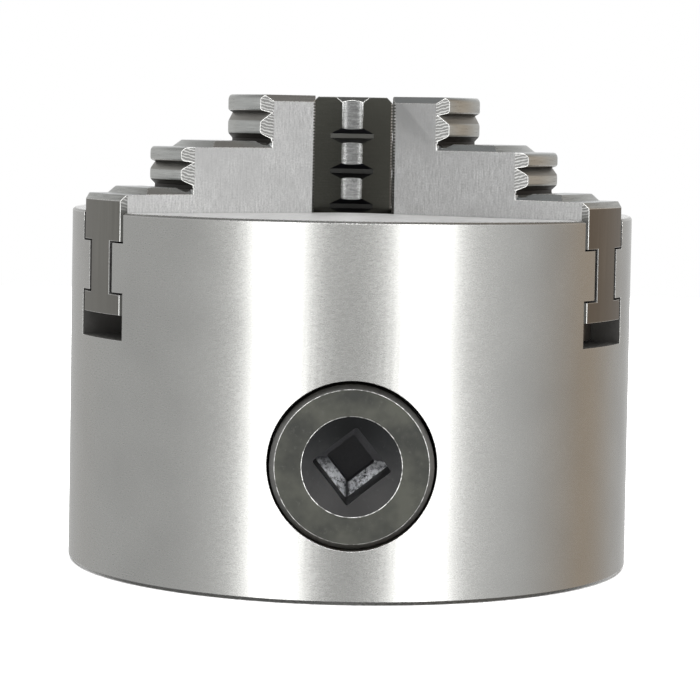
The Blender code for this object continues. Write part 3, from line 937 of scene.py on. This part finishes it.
def tip_notches():
    """The chamfer over the gripping land and the notches across it."""
    wide = JAW_HALF + OVERCUT
    front, over = TIP_S - 1, JAW_TOP + 0.44
    cuts = [[(front, JAW_TOP - 0.9 - 1.45), (TIP_S + 0.6 + 0.3, over), (front, over)]]
    slope = (TIP_NOTCH_WIDTH - TIP_NOTCH_FLOOR) / 2
    for top in TIP_NOTCH_TOPS:
        low = top - TIP_NOTCH_WIDTH
        flare = slope / TIP_NOTCH_DEPTH
        cuts.append(
            [
                (front, top + flare),
                (TIP_S + TIP_NOTCH_DEPTH, top - slope),
                (TIP_S + TIP_NOTCH_DEPTH, low + slope),
                (front, low - flare),
            ]
        )
    return [loft("tip_cut", [[(s, t, z) for s, z in cut] for t in (-wide, wide)]) for cut in cuts]


def wedge_corners():
    """The small milled flats where each wedge face meets the jaw's side."""
    wedge_s = TIP_S + (JAW_HALF - TIP_HALF) / math.tan(TIP_ANGLE)
    cutters = []
    for side in (1, -1):
        start, end = [Vector((wedge_s + s, side * (JAW_HALF - inset))) for s, inset in WEDGE_FLAT]
        along = (start - end).normalized()
        out = Vector((-along.y, along.x)) * side
        outline = [start + along * 2, end - along * 2, end - along * 2 + out * 3, start + along * 2 + out * 3]
        cutters.append(prism("wedge_corner", outline, FOOT_BOTTOM - OVERCUT, JAW_TOP + OVERCUT))
    return cutters


def milled_wedges():
    """Cutters that leave fine milling steps on both wedge faces of the tip."""
    low, high = FOOT_BOTTOM - OVERCUT, JAW_TOP + OVERCUT
    count = round((high - low) / MILL_PITCH)
    outline = [(-4.0, high), (-4.0, low)]
    for i in range(count):
        z = low + i * MILL_PITCH
        outline += [(0.02, z), (0.02 + MILL_DEPTH, z + MILL_PITCH * 0.5)]
    outline.append((0.02, low + count * MILL_PITCH))
    cutters = []
    for side in (1, -1):
        along = Vector((math.cos(TIP_ANGLE), side * math.sin(TIP_ANGLE)))
        inward = Vector((math.sin(TIP_ANGLE), -side * math.cos(TIP_ANGLE)))
        corner = Vector((TIP_S, side * TIP_HALF))
        rings = []
        for reach in (-3.0, 9.0):
            spots = [(corner + along * reach + inward * n, z) for n, z in outline]
            rings.append([(p.x, p.y, z) for p, z in spots])
        cutters.append(loft("wedge_mill", rings))
    return cutters


def jaw_blank(looks):
    """One jaw on +X without its scroll teeth."""
    jaw = paint(bar_along_x("jaw", jaw_section(), 0, BODY_R + 1), looks["side"])
    plan = paint(prism("plan", jaw_plan(), FOOT_BOTTOM - OVERCUT, JAW_TOP + OVERCUT), looks["wedge"])
    paint(plan, looks["end"], lambda c, n: c.x > BODY_R - 3)
    paint(plan, looks["hatch"], lambda c, n: c.x > BODY_R - 3 and 0.3 < abs(n.y) < 0.99)
    combine(jaw, [plan], "INTERSECT")
    steps = paint(sector("steps", step_profile(), math.radians(26), 40), looks["tread"])
    paint(steps, looks["ridge"], lambda c, n: abs(n.z) < 0.9)
    # Faces in the V groove and at the riser's foot are painted near-black, except those facing up: painted
    # shade.
    paint(steps, looks["groove"], lambda c, n: in_groove(c))
    paint(steps, looks["groove_floor"], lambda c, n: in_groove(c) and n.z < -0.1)
    combine(jaw, [steps], "DIFFERENCE")
    upper, lower = TREADS
    corners = riser_corner(RISER_R[0], upper + CORNER_RISE, JAW_TOP + 1)
    corners += riser_corner(RISER_R[1], lower + CORNER_RISE, upper - LOWER_LAND_DROP + 1)
    cutters = [paint(c, looks["hatch"]) for c in corners]
    edges = side_edge(0, RISER_R[0] + 1.5, JAW_TOP)
    edges += side_edge(RISER_R[0] - GROOVE_DEPTHS[0] + 0.03, RISER_R[1] - 4.0, upper)
    edges += side_edge(RISER_R[1] - GROOVE_DEPTHS[1] + 0.03, BODY_R - 3.2, lower)
    cutters += [paint(c, looks["tread"]) for c in edges]
    cutters += [paint(c, looks["wedge"]) for c in milled_wedges()]
    cutters += [paint(c, looks["tick"]) for c in wedge_corners()]
    ends = (FOOT_BOTTOM - OVERCUT, JAW_TOP + OVERCUT)
    grind = rod("grip_grind", [(z, TIP_GRIND_R) for z in ends], MEDIUM * 2)
    cutters.append(shift(paint(grind, looks["land"]), TIP_S + TIP_GRIND_SINK - TIP_GRIND_R, 0, 0))
    top_cut, *notches = tip_notches()
    cutters.append(paint(top_cut, looks["tip_top"]))
    cutters += [paint(paint(c, looks["notch"]), looks["shadow"], lambda c, n: n.z > 0.3) for c in notches]
    return combine(jaw, cutters, "DIFFERENCE")


def in_groove(centre):
    """Whether a point of the step profile lies in a riser's V groove or at its foot."""
    upper, lower = TREADS
    low_upper = upper - LOWER_LAND_DROP
    r, z = centre.xy.length, centre.z
    for radius, top, tread, ridge in ((RISER_R[0], JAW_TOP, upper, 2.2), (RISER_R[1], low_upper, lower, 2.0)):
        gap = top - ridge - 1.45 < z < top - ridge or tread - 1 < z < tread + 1.05
        if radius - 1.5 < r < radius - 0.04 and gap:
            return True
    return False


def jaw_tooth(middle):
    """One scroll tooth: its inner side fits the thread's outermost turn and its outer side the innermost."""
    lean = PITCH / math.tau / ((THREAD_INNER_R + THREAD_OUTER_R) / 2 - 1)
    flat_r = THREAD_OUTER_R + 0.5
    round_r = THREAD_INNER_R - 0.5
    across = [JAW_HALF * (i / 8 - 1) for i in range(17)]
    low, high = middle - TOOTH_WIDTH / 2, middle + TOOTH_WIDTH / 2
    inner = [(low - flat_r + math.sqrt(flat_r**2 - t**2) + lean * t, t) for t in across]
    outer = [(high - round_r + math.sqrt(round_r**2 - t**2) + lean * t, t) for t in across]
    return prism("tooth", inner + outer[::-1], TOOTH_BOTTOM, FOOT_BOTTOM + 0.4)


def jaws(looks, shaded_looks):
    """Three jaws, each with the teeth that fit the scroll at its angle. The last takes darker copies of the
    side and end finishes: painted shade.
    """
    blank = jaw_blank(looks)
    groups = (
        ("wedge", "notch", "shadow", "land"),
        ("groove", "groove_floor"),
        ("hatch", "side"),
        ("tick", "side"),
        ("tick", "wedge"),
    )
    plain = [[looks[name] for name in group] for group in groups]
    made = []
    for number, degrees in enumerate(JAW_ANGLES, 1):
        jaw = bpy.data.objects.new(f"jaw_{number}_ground", blank.data.copy())
        bpy.context.scene.collection.objects.link(jaw)
        gap = SPIRAL_START_R + PITCH * degrees / 360 + PITCH / 2
        gap -= PITCH * math.floor((gap - FIRST_TOOTH) / PITCH)
        teeth = []
        while gap <= LAST_TOOTH:
            teeth.append(paint(jaw_tooth(gap), looks["end"]))
            gap += PITCH
        combine(jaw, teeth, "UNION")
        soften(jaw, WORN_EDGE, looks["worn"], plain=plain)
        if number == len(JAW_ANGLES):
            for name, mat in shaded_looks.items():
                jaw.data.materials[jaw.data.materials.find(looks[name].name)] = mat
        jaw.rotation_euler = (0, 0, math.radians(degrees))
        made.append(jaw)
    bpy.data.objects.remove(blank, do_unlink=True)
    return made


def place(obj, body, slot, *nodes):
    """Sets the body a piece rides on and the CAD nodes it stands for; its material slot is not used."""
    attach(obj, body)
    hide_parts(*nodes)


def build_object():
    body_steel = body_finish()
    worn = worn_finish("worn_edge", (0.8, 0.8, 0.78), 0.28)
    hard = worn_finish("hard_turned_steel", (0.42, 0.42, 0.41), 0.35)
    looks = {
        "side": side_finish("jaw_ground_side", 0.69),
        "ridge": ridge_finish(),
        "end": end_finish("jaw_end_face", (0.28, 0.273, 0.25)),
        "tread": chamfer_finish(),
        # The groove's roof and flanks are painted near-black: painted shade.
        "groove": groove_finish("jaw_groove_roof_painted_shade", (0.05, 0.048, 0.045)),
        "groove_floor": groove_finish("jaw_groove_floor", (0.5, 0.49, 0.46)),
        "wedge": wedge_finish(),
        "land": land_finish(),
        "notch": notch_finish(),
        "shadow": black_finish("jaw_notch_roof", (0.05, 0.05, 0.06), 0.4),
        "tip_top": black_finish("jaw_tip_chamfer", (0.24, 0.24, 0.23), 0.4),
        "hatch": hatch_finish(),
        "tick": tick_finish(),
        "worn": worn,
    }
    body = chuck_body(body_steel, face_finish(), slot_shade_finish(), bore_finish(), worn)
    place(body, "body", "body_steel", "chuck_body")
    plate = hub_plate(hard, worn)
    place(plate, "body", "hub_plate_steel", "hub_plate")
    # The last jaw's side and end finishes are darker copies: painted shade.
    shaded_looks = {
        "side": side_finish("jaw_3_ground_side", 0.53),
        "end": end_finish("jaw_3_end_face", (0.25, 0.222, 0.19)),
    }
    for number, jaw in enumerate(jaws(looks, shaded_looks), 1):
        place(jaw, f"jaw_{number}", "jaw_steel", f"jaw_{number}")
    rim = black_finish("pinion_rim_black", (0.27, 0.27, 0.26), 0.5)
    # Matt black for the socket's pilot and upper walls: painted shade.
    painted_shade = black_finish("socket_painted_shade", (0.058, 0.058, 0.062), 0.8, metallic=0.0)
    first = pinion(pinion_finish(), rim, recess_finish(), painted_shade, broached_and_lit_finish(), rubbed_finish())
    for number, degrees in enumerate(PINION_ANGLES, 1):
        copy = first if number == 1 else bpy.data.objects.new("pinion", first.data)
        if number > 1:
            bpy.context.scene.collection.objects.link(copy)
        copy.name = f"pinion_{number}_blackened"
        copy.rotation_euler = (0, 0, math.radians(degrees))
        place(copy, f"pinion_{number}", "pinion_steel", f"pinion_{number}")
    screw_black = black_finish("screw_black", (0.07, 0.07, 0.075), 0.4)
    pin_bright = worn_finish("pin_bright", (0.58, 0.58, 0.56), 0.3)
    for name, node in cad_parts.items():
        if node.hide_render:
            continue
        kept = hard if "scroll" in name else pin_bright if "_pin_" in name else screw_black
        node.data.materials[0] = kept


# Stage

# The room that the steel reflects: degrees to the right of the camera's side, level, share of blue
WALLS = (
    (-180, 1.0, 1.0),
    (-160, 0.57, 1.0),
    (-138, 0.49, 0.97),
    (-118, 0.5, 1.0),
    (-75, 0.48, 1.0),
    (-55, 0.56, 1.0),
    (0, 0.405, 1.0),
    (50, 0.68, 1.0),
    (75, 0.55, 1.0),
    (88, 0.46, 0.9),
    (98, 0.42, 0.8),
    (110, 0.42, 0.6),
    (124, 0.44, 0.8),
    (136, 0.51, 0.95),
    (152, 0.52, 1.0),
    (172, 1.0, 1.0),
)
STRIP_AZIMUTHS = {"softbox_left": -29.0, "softbox_right": 28.5}
STRIP_DISTANCE = 1.0
STRIP_WIDTH = 2 * STRIP_DISTANCE * math.tan(math.radians(10.2))
STRIP_RADIANCE = 2.6
FRONT_RADIANCE = 9.5
FRONT_TILT = 22
WASH_WATTS = 90


def photo_camera():
    """The camera that looks at the chuck's front, a little from above, with a long lens."""
    eye = Vector((0, -387.242, 63.35)) * MM
    pitch, yaw, roll = math.radians(2.728), math.radians(-1.284), math.radians(0.965)
    forward = Vector((math.sin(yaw) * math.cos(pitch), math.cos(yaw) * math.cos(pitch), -math.sin(pitch)))
    right = Vector((math.cos(yaw), -math.sin(yaw), 0))
    up = right.cross(forward)
    tilted_right = right * math.cos(roll) + up * math.sin(roll)
    tilted_up = up * math.cos(roll) - right * math.sin(roll)
    axes = Matrix((tilted_right, tilted_up, -forward)).transposed()
    around_z = Matrix.Rotation(math.radians(-0.873), 3, "Z")
    camera = bpy.data.objects.new("camera", bpy.data.cameras.new("camera"))
    bpy.context.scene.collection.objects.link(camera)
    camera.matrix_world = Matrix.Translation(around_z @ eye) @ (around_z @ axes).to_4x4()
    camera.data.lens = 138.44
    camera.data.shift_x = 0.0845
    camera.data.shift_y = -0.1499
    camera.data.clip_start = 0.01
    bpy.context.scene.camera = camera


def area_light(name, azimuth, distance, height, size, radiance):
    """An upright softbox that faces the chuck, at an azimuth from the camera's side."""
    light = bpy.data.lights.new(name, "AREA")
    light.shape = "RECTANGLE"
    light.size, light.size_y = size
    light.energy = radiance * math.pi * size[0] * size[1]
    obj = bpy.data.objects.new(name, light)
    bpy.context.scene.collection.objects.link(obj)
    a = math.radians(azimuth)
    obj.location = (distance * math.sin(a), -distance * math.cos(a), height)
    obj.rotation_euler = (math.radians(90), 0, a)
    obj.visible_camera = False
    return obj


def lights():
    for name, azimuth in STRIP_AZIMUTHS.items():
        area_light(name, azimuth, STRIP_DISTANCE, 0.15, (STRIP_WIDTH, 1.8), STRIP_RADIANCE)
    front = area_light("front_top", 0, 0.95, 0.4, (0.22, 0.12), FRONT_RADIANCE)
    front.rotation_euler = (math.radians(90 - FRONT_TILT), 0, 0)
    top = bpy.data.lights.new("floor_wash", "AREA")
    top.size = 2.4
    top.energy = WASH_WATTS
    top_obj = bpy.data.objects.new("floor_wash", top)
    bpy.context.scene.collection.objects.link(top_obj)
    top_obj.location = (0, 0, 1.6)
    top_obj.visible_camera = False
    top_obj.visible_glossy = False


def surroundings():
    """White to the camera; a grey room, bright behind the chuck and warm at one side, in reflections."""
    world = bpy.data.worlds.new("room")
    bpy.context.scene.world = world
    world.use_nodes = True
    nodes, links = world.node_tree.nodes, world.node_tree.links
    nodes.clear()

    def calculate(operation, *values):
        node = nodes.new("ShaderNodeMath")
        node.operation = operation
        for socket, value in zip(node.inputs, values):
            if isinstance(value, bpy.types.NodeSocket):
                links.new(value, socket)
            else:
                socket.default_value = value
        return node.outputs[0]

    def ramp(factor, stops):
        node = nodes.new("ShaderNodeValToRGB")
        elements = node.color_ramp.elements
        while len(elements) > 1:
            elements.remove(elements[-1])
        elements[0].position = stops[0][0]
        elements[0].color = (*stops[0][1], 1)
        for position, colour in stops[1:]:
            elements.new(position).color = (*colour, 1)
        links.new(factor, node.inputs[0])
        return node.outputs[0]

    apart = nodes.new("ShaderNodeSeparateXYZ")
    links.new(nodes.new("ShaderNodeTexCoord").outputs["Generated"], apart.inputs[0])
    x, y, z = apart.outputs
    turned = calculate("ARCTAN2", x, calculate("MULTIPLY", y, -1.0))
    share = calculate("ADD", calculate("DIVIDE", turned, math.tau), 0.5)
    stops = [
        ((azimuth + 180) / 360, (level, level * (0.5 + blue / 2), level * blue))
        for azimuth, level, blue in WALLS
    ]
    room = ramp(share, stops)
    height = calculate("ADD", calculate("MULTIPLY", z, 0.5), 0.5)
    shade = ramp(height, [(0.2, (0.25,) * 3), (0.36, (1.0,) * 3), (0.66, (1.0,) * 3), (0.85, (0.5,) * 3)])
    mix = nodes.new("ShaderNodeMix")
    mix.data_type = "RGBA"
    mix.blend_type = "MULTIPLY"
    mix.inputs[0].default_value = 1.0
    links.new(room, mix.inputs[6])
    links.new(shade, mix.inputs[7])
    seen = nodes.new("ShaderNodeMix")
    seen.data_type = "RGBA"
    links.new(nodes.new("ShaderNodeLightPath").outputs["Is Camera Ray"], seen.inputs[0])
    links.new(mix.outputs[2], seen.inputs[6])
    seen.inputs[7].default_value = (1, 1, 1, 1)
    background = nodes.new("ShaderNodeBackground")
    links.new(seen.outputs[2], background.inputs[0])
    links.new(background.outputs[0], nodes.new("ShaderNodeOutputWorld").inputs[0])


def floor():
    slab = rod("floor", [(-20, 600), (-0.02, 600)], MEDIUM)
    finish = Finish("floor_white", 0.9, metallic=0.0)
    finish.shader.inputs["Base Color"].default_value = (0.9, 0.9, 0.9, 1)
    finish.shader.inputs["Specular IOR Level"].default_value = 0.0
    paint(slab, finish.mat)
    slab.visible_glossy = False
    slab.visible_shadow = False


build_object()
floor()
surroundings()
lights()
photo_camera()
bpy.context.scene.view_settings.view_transform = "Standard"
